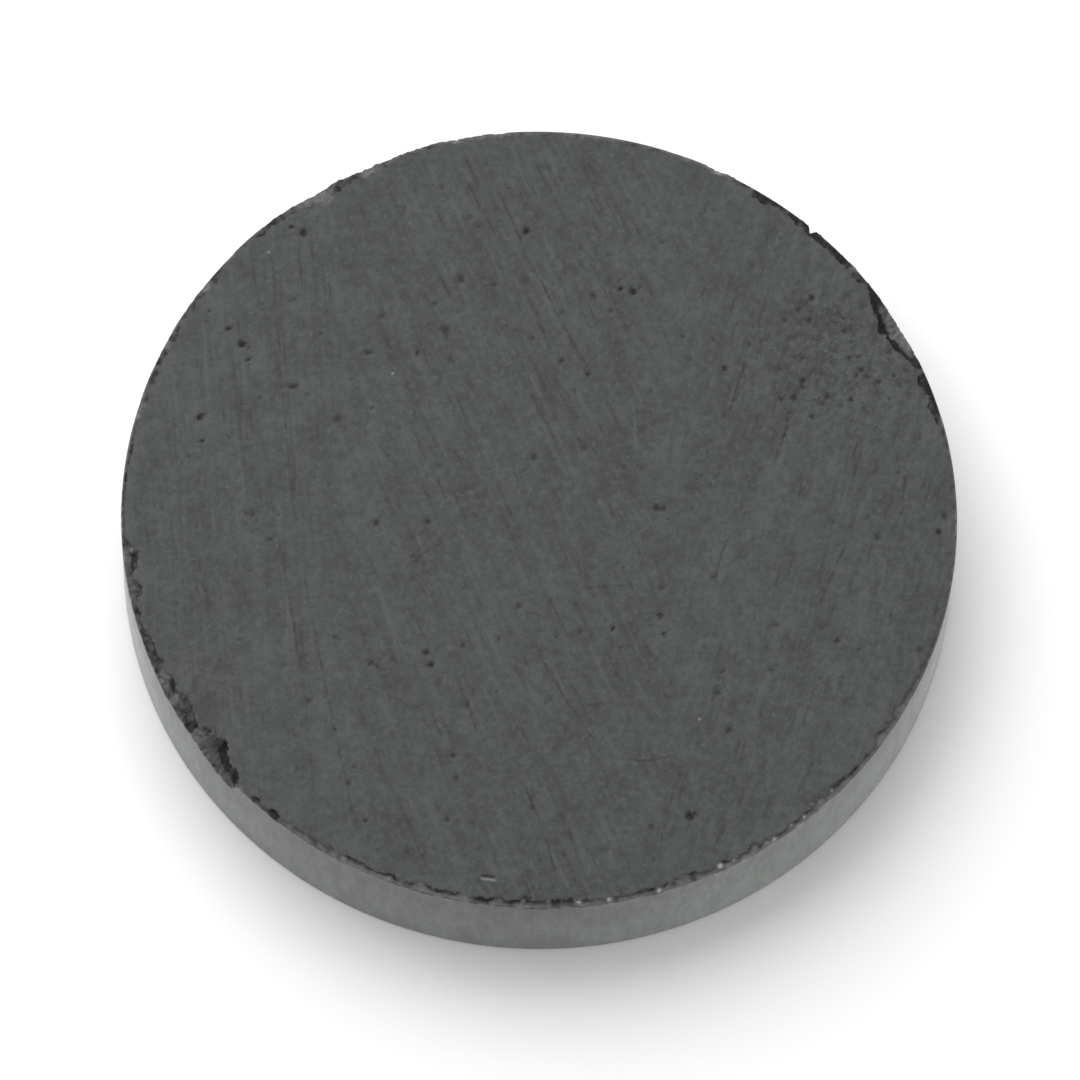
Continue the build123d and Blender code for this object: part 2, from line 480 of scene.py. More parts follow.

# %% Stations round the rim
# Each station: turn in degrees, reach over the face and drop down the wall in millimetres, then the
# tone of the break's inner edge and of its floor, where -1 is dark, 0 is like the face and 1 is light.
# Both tones are partly the break's own tone and partly painted shade and painted light
rim_wear = np.array([
    # Right: a ragged dark band with one deeper flake, light outside and dark along its inner edge
    (0, 0.06, 0.05, -0.2, 0.0), (9, 0.06, 0.05, -0.2, 0.0), (15, 0.1, 0.05, -0.4, -0.3),
    (17.3, 0.16, 0.06, -0.9, -1.1), (18.5, 0.23, 0.08, -1.0, -1.3), (20, 0.18, 0.08, -1.0, -1.3),
    (21.6, 0.19, 0.08, -1.1, -1.3), (22.2, 0.25, 0.09, -1.0, -1.3), (23.6, 0.21, 0.09, -0.9, -1.2),
    (24.4, 0.14, 0.08, 0.2, 0.3), (25.2, 0.19, 0.09, -1.0, -1.3), (26.2, 0.24, 0.1, -1.2, -1.3),
    (26.9, 0.28, 0.12, -1.3, -0.8), (27.6, 0.32, 0.14, -1.3, 0.1), (29, 0.43, 0.2, -1.4, 0.4),
    (30.3, 0.49, 0.22, -1.4, 0.5), (31.2, 0.46, 0.24, -1.2, 0.7), (32.4, 0.54, 0.22, -1.4, 0.5),
    (33.6, 0.44, 0.2, -1.4, 0.4), (35, 0.4, 0.16, -1.3, 0.1), (35.8, 0.34, 0.12, -1.3, -0.6),
    (36.5, 0.26, 0.09, -1.2, -1.3), (38, 0.21, 0.08, -1.0, -1.3), (39.3, 0.13, 0.08, -0.4, -0.6),
    (40.4, 0.22, 0.08, -1.0, -1.3), (41.7, 0.22, 0.08, -0.9, -1.2), (42.3, 0.13, 0.07, 0.3, 0.4),
    (43, 0.19, 0.08, -1.0, -1.3), (46, 0.18, 0.08, -1.0, -1.3), (47.2, 0.24, 0.09, -1.1, -1.3),
    (50.3, 0.23, 0.09, -1.1, -1.3), (51.4, 0.18, 0.09, -1.1, -1.3), (52.3, 0.14, 0.08, -0.6, -0.9),
    (53, 0.26, 0.09, -1.0, -1.3), (54, 0.2, 0.09, -1.1, -1.3), (55.5, 0.13, 0.08, -0.6, -0.8),
    (56.6, 0.18, 0.08, -0.8, -1.1), (57.5, 0.2, 0.08, -0.8, -1.1), (58.8, 0.25, 0.09, -1.1, -1.3),
    (60.2, 0.26, 0.09, -1.1, -1.2), (60.9, 0.14, 0.08, -0.6, -0.6), (61.6, 0.13, 0.1, -0.5, -0.4),
    (62.7, 0.18, 0.1, -0.5, -0.6), (64, 0.1, 0.06, -0.3, -0.3), (65.3, 0.12, 0.06, 0.2, 0.4),
    (66.2, 0.17, 0.12, 0.4, 1.0), (67.2, 0.17, 0.12, 0.4, 0.9), (68.4, 0.08, 0.05, 0.2, 0.3),
    (70.5, 0.12, 0.05, -0.3, 0.0), (72.8, 0.14, 0.05, -0.4, -0.1),
    # Far side: hair cracks and small flakes, then a run of wider ones
    (74, 0.06, 0.05, 0.0, 0.0), (76, 0.14, 0.04, -0.4, 0.0), (88.5, 0.14, 0.06, -0.4, 0.2),
    (91, 0.06, 0.05, 0.0, 0.0), (93, 0.14, 0.04, -0.4, 0.0), (96, 0.14, 0.05, -0.4, 0.1),
    (97.6, 0.16, 0.1, 0.0, 0.5), (99.5, 0.12, 0.05, -0.4, 0.1), (101.5, 0.11, 0.08, 0.0, 0.5),
    (102.5, 0.07, 0.05, 0.0, 0.0), (104, 0.16, 0.12, 0.2, 0.6), (106, 0.06, 0.06, -0.1, 0.0),
    (107.8, 0.12, 0.08, -0.6, -0.7), (108.6, 0.08, 0.1, -0.1, 0.0), (110, 0.1, 0.13, 0.0, 0.0),
    (112, 0.12, 0.16, -0.3, 0.1), (113.2, 0.18, 0.2, 0.1, 0.4), (114, 0.22, 0.22, -0.4, -0.2),
    (114.6, 0.25, 0.23, -1.0, -0.8), (115.2, 0.22, 0.24, 0.0, 0.4), (116.2, 0.29, 0.26, 0.4, 0.8),
    (117.3, 0.28, 0.28, 0.5, 0.8), (118, 0.33, 0.27, -0.6, 0.2), (118.8, 0.28, 0.25, -0.8, -0.7),
    (119.8, 0.25, 0.22, -0.9, -0.9), (121.2, 0.24, 0.16, -1.0, -0.8), (122, 0.34, 0.18, -1.0, -0.9),
    (122.6, 0.3, 0.22, -0.8, -0.4), (123.1, 0.4, 0.26, 0.4, 0.7), (124.2, 0.46, 0.3, 0.4, 0.9),
    (125.6, 0.42, 0.3, 0.3, 0.8), (126.4, 0.36, 0.26, -0.6, 0.6), (128, 0.28, 0.22, -0.7, 0.4),
    (129.6, 0.23, 0.14, -0.9, -0.3), (131, 0.2, 0.1, -1.0, -0.8), (133, 0.15, 0.07, -1.0, -0.9),
    (135.9, 0.17, 0.06, -0.9, -0.7), (136.6, 0.08, 0.05, -0.4, -0.3), (138, 0.09, 0.05, -0.6, -0.5),
    (139.3, 0.07, 0.06, -0.3, 0.0), (140.2, 0.06, 0.09, 0.0, 0.2), (141.6, 0.08, 0.09, -0.2, 0.1),
    (142.6, 0.16, 0.08, -0.7, -0.8), (143.6, 0.16, 0.08, -0.8, -1.0), (144.8, 0.24, 0.08, -0.8, -0.9),
    (145.3, 0.14, 0.08, -0.2, 0.2), (146, 0.18, 0.1, 0.3, 1.0), (146.6, 0.18, 0.1, 0.2, 0.9),
    (146.9, 0.22, 0.08, -0.7, -0.4), (148, 0.14, 0.06, -0.7, -0.7), (150, 0.15, 0.06, -0.6, -0.7),
    (152, 0.1, 0.05, -0.6, -0.6), (154, 0.13, 0.06, -0.6, -0.6), (154.8, 0.22, 0.08, -0.9, -0.9),
    (155.4, 0.2, 0.09, -0.9, -0.7), (155.9, 0.16, 0.1, 0.2, 0.6), (156.7, 0.14, 0.1, 0.2, 0.6),
    (157.2, 0.16, 0.07, -0.6, -0.7), (159.6, 0.16, 0.07, -0.9, -1.0), (160.4, 0.12, 0.06, -0.4, -0.5),
    (161.4, 0.18, 0.06, -0.9, -0.9), (163.6, 0.12, 0.05, -0.6, -0.6), (165, 0.19, 0.06, -0.9, -0.7),
    (166, 0.16, 0.07, -0.2, 0.3), (167.8, 0.14, 0.07, 0.2, 0.7), (168.4, 0.12, 0.06, -0.7, -0.7),
    (170, 0.1, 0.05, -0.8, -0.8), (174.5, 0.14, 0.05, -0.9, -0.5), (176, 0.08, 0.05, -0.6, -0.4),
    (177, 0.1, 0.06, -0.8, -0.9), (181, 0.08, 0.05, -0.6, -0.8),
    # Left: a row of bites that ends in the largest one, which narrows and deepens towards the front
    (186, 0.1, 0.06, -0.6, -0.8), (187.2, 0.16, 0.08, -0.6, -0.4), (187.8, 0.28, 0.1, 0.4, 0.2),
    (188.4, 0.33, 0.12, -0.8, 0.0), (189.6, 0.33, 0.12, -0.8, 0.2), (190.8, 0.28, 0.12, -0.8, -0.3),
    (191.4, 0.18, 0.12, -0.8, -0.6), (192.4, 0.16, 0.12, -0.5, -0.3), (193.6, 0.32, 0.12, -0.8, -0.3),
    (194.6, 0.34, 0.12, -0.7, -0.2), (195.3, 0.18, 0.1, -0.5, -0.3), (196.2, 0.16, 0.1, -0.8, -0.7),
    (198, 0.13, 0.1, -0.8, -0.8), (199.4, 0.12, 0.1, -0.6, 0.3), (200, 0.12, 0.1, -0.8, -0.9),
    (201, 0.2, 0.1, -0.6, -0.6), (202.2, 0.24, 0.12, -0.7, -0.6), (204, 0.25, 0.12, -0.7, -0.8),
    (205.6, 0.22, 0.12, -0.7, -0.8), (206.3, 0.18, 0.14, -0.7, -0.7), (206.8, 0.22, 0.18, 0.3, 0.5),
    (207.4, 0.28, 0.22, 0.4, 0.7), (208, 0.34, 0.24, -0.7, 0.6), (208.8, 0.34, 0.28, -0.9, 0.2),
    (209.6, 0.3, 0.28, -0.9, -0.8), (210.2, 0.26, 0.24, -0.4, -0.8), (210.6, 0.3, 0.22, 0.4, 0.3),
    (211.3, 0.34, 0.22, 0.3, 0.1), (211.8, 0.36, 0.22, -0.4, -0.5), (213, 0.36, 0.24, -0.4, -0.7),
    (214.4, 0.32, 0.26, -0.6, -0.8), (215.4, 0.28, 0.26, -0.9, -0.9), (216.1, 0.26, 0.24, -1.0, -1.0),
    (216.5, 0.2, 0.22, 0.5, 0.8), (217.2, 0.26, 0.22, 0.6, 0.8), (217.7, 0.26, 0.24, 0.3, 0.5),
    (218.3, 0.3, 0.28, 0.2, 0.4), (219.2, 0.4, 0.36, 0.1, 0.3), (219.9, 0.56, 0.42, -0.6, 0.2),
    (220.6, 0.54, 0.44, -1.2, 0.1), (221.4, 0.46, 0.48, -1.3, 0.0), (222.4, 0.37, 0.52, -1.3, -0.1),
    (223.2, 0.32, 0.54, -1.2, -0.2), (223.9, 0.28, 0.55, -0.7, -0.2), (224.5, 0.29, 0.55, -1.3, -0.4),
    (225.3, 0.22, 0.50, -1.3, -0.6), (226, 0.14, 0.3, -1.1, -0.7), (226.5, 0.1, 0.1, 0.3, 0.6),
    (226.9, 0.14, 0.06, 0.3, 0.6), (227.6, 0.08, 0.05, 0.0, 0.2), (228.9, 0.08, 0.05, -0.3, 0.0),
    (229.4, 0.12, 0.07, -0.9, -0.8), (230.1, 0.11, 0.07, -0.8, -0.6), (230.8, 0.06, 0.05, 0.0, 0.1),
    (232.1, 0.09, 0.06, -0.6, -0.4), (232.6, 0.15, 0.08, -1.1, -1.0), (233.7, 0.13, 0.08, -1.1, -1.0),
    (234.3, 0.09, 0.06, -0.4, 0.2),
    # Near side: light crumbs, dark bits between them and a few bright grains
    (235.6, 0.13, 0.06, 0.2, 1.0), (236.5, 0.12, 0.06, -0.2, 0.3), (237.6, 0.12, 0.06, -0.2, 0.4),
    (238.6, 0.12, 0.06, 0.1, 0.9), (239.2, 0.14, 0.06, 0.0, 0.7), (240, 0.15, 0.07, -0.6, -0.4),
    (240.3, 0.14, 0.07, -0.3, 0.4), (240.7, 0.14, 0.08, 0.2, 0.8), (241.3, 0.14, 0.07, -0.1, 0.3),
    (242.4, 0.18, 0.07, 0.0, 0.3), (243.2, 0.18, 0.07, 0.2, 0.8), (243.8, 0.16, 0.07, -0.2, 0.6),
    (244.4, 0.15, 0.09, 0.0, 0.7), (244.9, 0.18, 0.07, -0.7, 0.4), (246, 0.16, 0.06, -0.7, 0.4),
    (247.4, 0.16, 0.06, -0.5, 0.5), (248.2, 0.15, 0.06, -0.9, 0.1), (249, 0.11, 0.06, -0.3, 0.4),
    (250, 0.16, 0.06, -0.6, 0.4), (250.8, 0.15, 0.08, -0.7, 0.6), (251.4, 0.15, 0.08, -0.7, 0.6),
    (252, 0.17, 0.07, -0.8, 0.3), (252.8, 0.13, 0.08, -0.2, 0.7), (253.6, 0.1, 0.06, -0.3, 0.3),
    (254.2, 0.14, 0.06, -0.7, 0.3), (254.6, 0.18, 0.07, 0.0, 0.8), (255.8, 0.24, 0.08, 0.1, 0.8),
    (256.6, 0.22, 0.08, 0.1, 0.7), (257.1, 0.16, 0.07, -0.8, 0.4), (258.2, 0.17, 0.07, -0.9, 0.4),
    (259, 0.15, 0.06, -0.7, 0.4), (260.2, 0.17, 0.06, -0.8, 0.5), (261, 0.16, 0.06, -0.4, 0.6),
    (262, 0.17, 0.07, 0.2, 0.9), (262.8, 0.14, 0.06, -0.4, 0.5), (263.6, 0.15, 0.06, -0.9, -0.2),
    (265.3, 0.15, 0.06, -1.0, -0.6), (265.9, 0.18, 0.06, -0.8, 0.4), (266.6, 0.2, 0.06, -0.4, 0.6),
    (267.2, 0.18, 0.06, -0.8, 0.2), (268.4, 0.16, 0.06, -1.0, -0.4), (269.2, 0.2, 0.07, -1.0, 0.6),
    (270, 0.25, 0.08, -0.9, 0.8), (271, 0.27, 0.08, -0.7, 0.4), (271.8, 0.22, 0.1, 0.0, 0.4),
    (272.8, 0.18, 0.09, -0.4, 0.4), (273.6, 0.2, 0.07, -0.2, 0.6), (274, 0.22, 0.06, -0.9, -0.7),
    (274.7, 0.2, 0.06, -0.9, -0.7), (275.1, 0.14, 0.06, 0.0, 0.5), (275.5, 0.22, 0.06, -0.8, -0.5),
    (276.8, 0.19, 0.06, -0.9, -0.7), (277.2, 0.12, 0.06, 0.2, 0.7), (277.6, 0.2, 0.09, 0.2, 0.7),
    (278.2, 0.14, 0.07, -0.5, 0.5), (279, 0.14, 0.06, -0.7, 0.4), (279.8, 0.15, 0.07, 0.2, 0.7),
    (280.6, 0.12, 0.07, -0.3, 0.5), (281.2, 0.12, 0.08, -0.3, 0.3), (281.6, 0.17, 0.09, 0.0, 0.4),
    (282.2, 0.12, 0.06, -0.3, 0.0), (282.8, 0.13, 0.06, -0.9, -0.6), (283.4, 0.1, 0.06, -0.2, 0.4),
    (285, 0.1, 0.06, -0.3, 0.6), (286, 0.14, 0.06, -0.8, 0.2), (287, 0.14, 0.07, -0.9, 0.1),
    (288.2, 0.14, 0.08, -0.8, 0.4), (288.8, 0.14, 0.09, -0.4, 0.6), (289.4, 0.14, 0.06, -0.4, 0.6),
    (290.2, 0.2, 0.07, 0.1, 0.6), (290.8, 0.16, 0.07, -0.4, 0.1), (291.6, 0.16, 0.06, 0.2, 0.7),
    (292.8, 0.2, 0.07, 0.4, 0.7), (293.3, 0.18, 0.06, -0.7, -0.6), (294, 0.2, 0.06, -0.9, -0.8),
    (294.5, 0.16, 0.06, -0.3, 0.5), (295.6, 0.12, 0.06, -0.2, 0.6), (296.6, 0.1, 0.05, 0.0, 0.5),
    (297.3, 0.16, 0.07, -0.2, 0.6), (297.8, 0.18, 0.09, 0.0, 0.6), (298.4, 0.22, 0.07, -0.9, -0.4),
    (299, 0.13, 0.06, -0.8, 0.5), (299.8, 0.13, 0.07, 0.0, 0.7), (300.6, 0.1, 0.06, -0.4, 0.6),
    (301.4, 0.14, 0.06, -0.2, 0.8), (302.4, 0.16, 0.06, -0.6, 0.2), (303, 0.26, 0.07, 0.5, 0.4),
    (303.8, 0.14, 0.06, -0.7, -0.5), (304.6, 0.16, 0.06, -0.8, 0.6), (305.6, 0.14, 0.07, -0.8, 0.6),
    (306.4, 0.12, 0.06, -0.6, 0.6), (307.4, 0.1, 0.06, -0.5, 0.4), (308.6, 0.1, 0.06, -0.3, 0.6),
    (309.2, 0.14, 0.07, 0.2, 0.7), (310, 0.14, 0.06, -0.7, 0.0), (310.6, 0.12, 0.06, -0.4, 0.4),
    (311.4, 0.14, 0.07, -0.4, 0.7), (312, 0.18, 0.06, -0.9, 0.1), (312.8, 0.12, 0.06, -0.2, 0.5),
    (313.4, 0.26, 0.07, 0.6, 0.5), (314.2, 0.17, 0.06, 0.9, 0.5), (315.4, 0.16, 0.06, 0.8, 0.4),
    (316.2, 0.12, 0.06, 0.5, 0.4), (316.8, 0.17, 0.08, 0.4, 0.7), (317.3, 0.2, 0.06, -0.8, 0.4),
    (318.4, 0.22, 0.06, -0.8, 0.4), (319.2, 0.21, 0.06, -0.9, 0.5), (319.6, 0.12, 0.06, 0.0, 0.6),
    (320.8, 0.14, 0.06, -0.7, -0.3), (321.6, 0.16, 0.06, -0.7, 0.3), (322.4, 0.14, 0.07, 0.2, 0.9),
    (323.2, 0.12, 0.06, -0.3, 0.6), (324, 0.15, 0.06, -0.8, -0.5), (324.6, 0.1, 0.05, -0.4, 0.3),
    (326, 0.08, 0.05, -0.1, 0.3), (327, 0.23, 0.05, -0.3, 0.4), (328.6, 0.2, 0.05, -0.4, 0.4),
    (330.2, 0.14, 0.05, -0.4, 0.3), (331.6, 0.22, 0.05, -0.2, 0.2), (332.8, 0.15, 0.06, 0.0, 0.8),
    (334, 0.2, 0.05, -0.3, 0.2), (336, 0.12, 0.05, -0.2, 0.4), (337.5, 0.12, 0.05, -0.3, 0.2),
    (342, 0.08, 0.05, -0.2, 0.1), (352, 0.06, 0.05, -0.2, 0.0),
])
print(len(rim_wear), "stations, the largest break", rim_wear[:, 1:3].max(0), "mm")

# %% Break the rim
face_zone, wall_zone = 1.0, 1.2  # how far in from the rim and down the wall points may move
turn_shift = 0.3  # degrees by which noise moves the stations to and fro
fray_share, fray_limit = 0.6, 0.11  # fraying as a share of a break's size, and its most in millimetres

near_rim = np.flatnonzero((sound[:, 2] > thickness - wall_zone) & (from_axis > rim_radius - face_zone))
places = worn[near_rim]
around = np.degrees(np.arctan2(places[:, 1], places[:, 0]))
shift = turn_shift * lattice_noise(places, 0.12, 4, angular=True)
fray = sum(
    0.5 * lattice_noise(places, cell, seed, angular=True) for cell, seed in ((0.13, 6), (0.07, 10)))
reach, drop, edge_tone_and_shade, floor_tone_and_light = (
    np.interp(around + shift, rim_wear[:, 0], column, period=360) for column in rim_wear[:, 1:].T)
reach, drop = (size + fray * np.minimum(fray_share * size, fray_limit) for size in (reach, drop))
inset = rim_radius - np.hypot(places[:, 0], places[:, 1])
below = thickness - places[:, 2]
slid = scoop_slide(inset, below, reach, drop)
inwards = -np.stack([np.cos(np.radians(around)), np.sin(np.radians(around)), np.ones(len(places))], -1)
places = places + slid[:, None] * inwards
print(int((slid > 0).sum()), "points moved, the farthest by", slid.max().round(2), "mm each way")

# %% [markdown]
# ## Tones of the breaks
# A flake is often dark along its inner edge and lighter on its floor, partly by its own tone and
# partly by painted shade and painted light, and some crystals throw back the lamp as painted
# highlights. A picture could hold that, but it would have to fit the chips exactly. So each point
# near the rim gets a tone from the stations, and the crystals are set on top.

# %% Tones of the broken rim
# Each glinting grain, a painted highlight: turn in degrees, how far in from the rim it lies, its
# radius and its tone
glint_grains = [
    (24.3, 0.15, 0.06, 0.8), (31.1, 0.28, 0.08, 1.0), (42.3, 0.22, 0.06, 0.8),
    (66.6, 0.1, 0.09, 1.2), (104, 0.08, 0.09, 1.2), (146.3, 0.12, 0.07, 1.0),
    (187.9, 0.22, 0.06, 1.1), (206.7, 0.15, 0.06, 1.0), (207.7, 0.22, 0.07, 1.2),
    (208.3, 0.15, 0.07, 0.8), (210.6, 0.22, 0.07, 0.8), (226.7, 0.12, 0.07, 0.9),
    (235.5, 0.1, 0.07, 0.9), (238.5, 0.07, 0.06, 0.8), (240.6, 0.1, 0.06, 1.1),
    (243.2, 0.14, 0.07, 1.0), (244.4, 0.1, 0.08, 1.2), (251.2, 0.08, 0.08, 1.2),
    (252.9, 0.09, 0.06, 1.1), (255.7, 0.18, 0.07, 0.9), (262, 0.12, 0.06, 0.9),
    (269.9, 0.18, 0.07, 0.9), (277.6, 0.14, 0.09, 1.6), (281.7, 0.11, 0.09, 1.7),
    (288.7, 0.07, 0.09, 1.5), (297.8, 0.13, 0.09, 1.8), (298.8, 0.07, 0.06, 1.0),
    (299.9, 0.1, 0.07, 1.3), (301.3, 0.06, 0.06, 0.9), (305, 0.08, 0.07, 1.2),
    (306.2, 0.07, 0.08, 1.4), (309.2, 0.12, 0.07, 1.3), (311.4, 0.1, 0.07, 1.4),
    (313.4, 0.24, 0.08, 1.4), (316.8, 0.15, 0.07, 1.3), (332.8, 0.08, 0.06, 0.9),
]
inner_edge, floor_border = 0.68, 0.42  # as shares of a break's reach
tone_noise = 0.35
grain_length = 1.3  # along the rim, as a share of its width

depth_share = slid / scoop_slide(0, 0, reach, drop)  # 0 at a break's border, 1 at the lost corner
new_inset = rim_radius - np.hypot(places[:, 0], places[:, 1])
floor_share = smooth_step(new_inset / reach, inner_edge, floor_border)
# Painted shade along the inner edges and painted light on the floors, over the breaks' own tone
lightness = edge_tone_and_shade + (floor_tone_and_light - edge_tone_and_shade) * floor_share
lightness = lightness + tone_noise * lattice_noise(places, 0.1, 8)
# Painted highlights of single crystals on the breaks
for turn, grain_inset, size, tone in glint_grains:
    along_rim = rim_radius * np.radians((around - turn + 180) % 360 - 180)
    away = np.hypot(along_rim / grain_length, new_inset - grain_inset) / size
    lightness = lightness + (tone - lightness) * smooth_step(away, 1.2, 0.2)
print("lightness from", lightness.min().round(2), "to", lightness.max().round(2))

# %% [markdown]
# ## The nick
# At the far right one narrow nick runs down the wall, wide at the face and pointed below. Cutting
# it with a Boolean would leave long thin triangles, so a wedge pushes the points in instead.

# %% Cut the nick
nick_turn = radians(50.7)
nick_half_width = 0.13
nick_reach = 0.24  # over the face
nick_drop = 0.9  # down the wall

beside = np.abs(places[:, 1] * cos(nick_turn) - places[:, 0] * sin(nick_turn))
outwards = places[:, 0] * cos(nick_turn) + places[:, 1] * sin(nick_turn)
wedge = nick_reach * (1 - beside / nick_half_width - (thickness - places[:, 2]) / nick_drop)
cut = np.where(outwards > 0, np.maximum(wedge - (rim_radius - outwards), 0), 0)
worn[near_rim] = places - cut[:, None] * np.array([cos(nick_turn), sin(nick_turn), 0])

fracture, chip_tone = np.zeros((2, len(sound)))
fracture[near_rim] = np.maximum(smooth_step(depth_share, 0, 0.22), smooth_step(cut, 0, 0.012))
chip_tone[near_rim] = lightness
print("the nick cuts", cut.max().round(2), "mm in")

# %% [markdown]
# ## The mesh and its masks
# The finish has to know where the ground face ends and where the breaks lie. Separate materials
# would leave hard borders, and painted masks would need the surface laid out flat. Values on the
# points need neither, and they blend from one point to the next.

# %% Make the magnet's mesh
wall_start = rim_radius - 0.75 * edge_break  # outside this radius lies the skin of the kiln
sharp_turn = radians(32)  # edges that turn by more than this stay crisp

wall = np.where(from_axis > wall_start, 1.0, 0.0)
mesh = bpy.data.meshes.new("magnet_disc")
mesh.from_pydata((MM * worn).tolist(), [], [corner for group in faces for corner in group.tolist()])
mesh.polygons.foreach_set("use_smooth", np.ones(len(mesh.polygons), bool))
mesh.set_sharp_from_angle(angle=sharp_turn)
for name, values in {"pore": pore, "fracture": fracture, "tone": chip_tone, "wall": wall}.items():
    attribute = mesh.attributes.new(name, "FLOAT", "POINT")
    attribute.data.foreach_set("value", values.astype(np.float32))
mesh.validate()
magnet = bpy.data.objects.new("magnet_disc", mesh)
bpy.context.scene.collection.objects.link(magnet)
print("mesh of", len(mesh.vertices), "vertices and", len(mesh.polygons), "faces")

# %% [markdown]
# ## Ferrite, ground, fired and broken
# One material has three looks. The ground face is a matte, slightly green dark grey with fine
# grinding streaks. The wall still has the skin of the kiln, lighter and smoother, so it mirrors the
# white sheet where it is seen at a low angle, and a paler colour paints more of that reflection at
# its right and left. Broken ceramic is darker, partly by painted shade, and its sparkle is painted
# highlights. The mesh says where each look lies, and noise in millimetres gives the fine marks.

# %% Start the material
ferrite, wire, output = new_finish("ferrite")
pore_shape, broken, chip_light, on_wall = (
    wire.node("ShaderNodeAttribute", {"attribute_name": name}, out="Fac")
    for name in ("pore", "fracture", "tone", "wall"))
metres = wire.node("ShaderNodeTexCoord", out="Object")
place = wire.node("ShaderNodeVectorMath", {"operation": "SCALE"}, {"Vector": metres, "Scale": 1 / MM})
x, y, z = (wire.node("ShaderNodeSeparateXYZ", sockets={"Vector": place}, out=axis) for axis in "XYZ")
# The lattice of a noise shows on a face that lies along it, so most noise reads this turned place
askew = wire.node("ShaderNodeMapping", sockets={"Vector": place, "Rotation": askew_turn})


def clouds(vector, scale, detail, roughness):
    """Fractal noise about zero, with `scale` cells to a millimetre."""
    made = wire.node("ShaderNodeTexNoise", sockets={
        "Vector": vector, "Scale": scale, "Detail": detail, "Roughness": roughness})
    return made - 0.5


def along(turn, stretch):
    """The place turned by `turn` degrees about the axis, then drawn out along its Y by `stretch`."""
    return wire.node("ShaderNodeMapping", {"vector_type": "TEXTURE"}, {
        "Vector": place, "Rotation": (0, 0, radians(turn)), "Scale": (1, stretch, 1)})


def count_nodes(step):
    """Prints how many nodes the material has after a step."""
    print("nodes after", step + ":", len(wire.tree.nodes))


count_nodes("the start")

# %% [markdown]
# ## Grinding marks
# A wheel leaves bundles of fine, nearly parallel scratches, and their direction changes where the
# disc was moved. Noise drawn out along three directions gives the bundles. The single scratches
# that stand out are parabolas through three given places, so each takes only a few nodes.

# %% Streaks in three directions
jitter = clouds(askew, 0.5, 2, 0.6)
near_left = (x + 3 * jitter).ramp(-3.6, -5.6)
near_right = (x + 3 * jitter).ramp(2.2, 4.2)


def grinding(scale):
    """Streaks with `scale` of them to a millimetre, which turn from one direction to the next."""
    left, middle, right = (
        clouds(along(turn, stretch), scale, 2, 0.6) for turn, stretch in ((7, 13), (25, 13), (-14, 7)))
    middle = middle + near_left * (left - middle)
    return middle + near_right * (right - middle)


streaks, bands = grinding(7), grinding(2.5)
# The dark dashes and light glints are partly grinding marks and partly painted shade and highlights of
# their relief
dashes = streaks.ramp(-0.1, -0.22)
streak_glints = streaks.ramp(0.1, 0.24)
count_nodes("the streaks")

